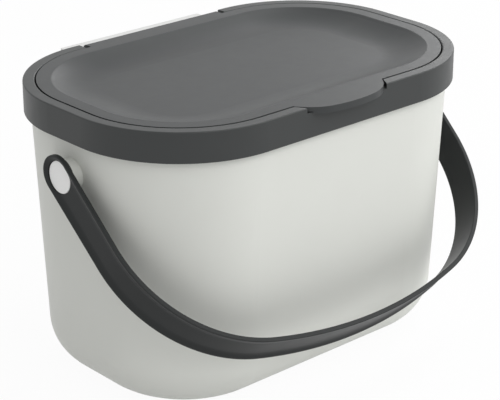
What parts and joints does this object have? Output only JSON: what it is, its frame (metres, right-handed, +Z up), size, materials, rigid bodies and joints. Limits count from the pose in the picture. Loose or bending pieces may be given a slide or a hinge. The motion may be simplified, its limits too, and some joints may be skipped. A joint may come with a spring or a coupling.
{
  "type": "compost caddy",
  "caption": "Oval-cornered kitchen compost caddy with a drafted bucket, liner frame, hinged dished lid with lift tab, swinging bail and cupboard door hanger.",
  "frame": {"origin": "middle of the bucket's flat base, on the surface that it stands on", "axes": "+X along the caddy's length, -Y towards the front with the lift tab, +Z up"},
  "size_m": [0.2778, 0.225, 0.1775],
  "materials": {
    "bucket_plastic": "pale warm grey polypropylene, fine matt grain",
    "frame_plastic": "dark grey polypropylene, fine matt grain",
    "lid_plastic": "dark grey polypropylene, satin",
    "bail_plastic": "charcoal polypropylene, satin",
    "button_plastic": "off-white polypropylene, satin",
    "hanger_plastic": "white plastic, satin"
  },
  "bodies": {
    "bucket": {"bucket": "bucket_plastic", "pivot_button_left": "button_plastic", "pivot_button_right": "button_plastic"},
    "liner_frame": {"liner_frame": "frame_plastic"},
    "lid": {"lid": "lid_plastic"},
    "handle": {"handle": "bail_plastic"},
    "door_hanger": {"door_hanger": "hanger_plastic"}
  },
  "joints": [
    {"name": "frame_lift", "type": "slide", "parent": "bucket", "child": "liner_frame", "axis": [0, 0, 1], "range_m": [0, 0.06]},
    {"name": "lid_hinge", "type": "hinge", "parent": "liner_frame", "child": "lid", "pos_m": [0, 0.0845, 0.1745], "axis": [-1, 0, 0], "range_deg": [0, 105]},
    {"name": "bail_swing", "type": "hinge", "parent": "bucket", "child": "handle", "pos_m": [0, 0, 0.139], "axis": [-1, 0, 0], "range_deg": [-7, 271]},
    {"name": "hanger_slide", "type": "slide", "parent": "bucket", "child": "door_hanger", "axis": [0, 0, -1], "range_m": [0, 0.05]}
  ]
}
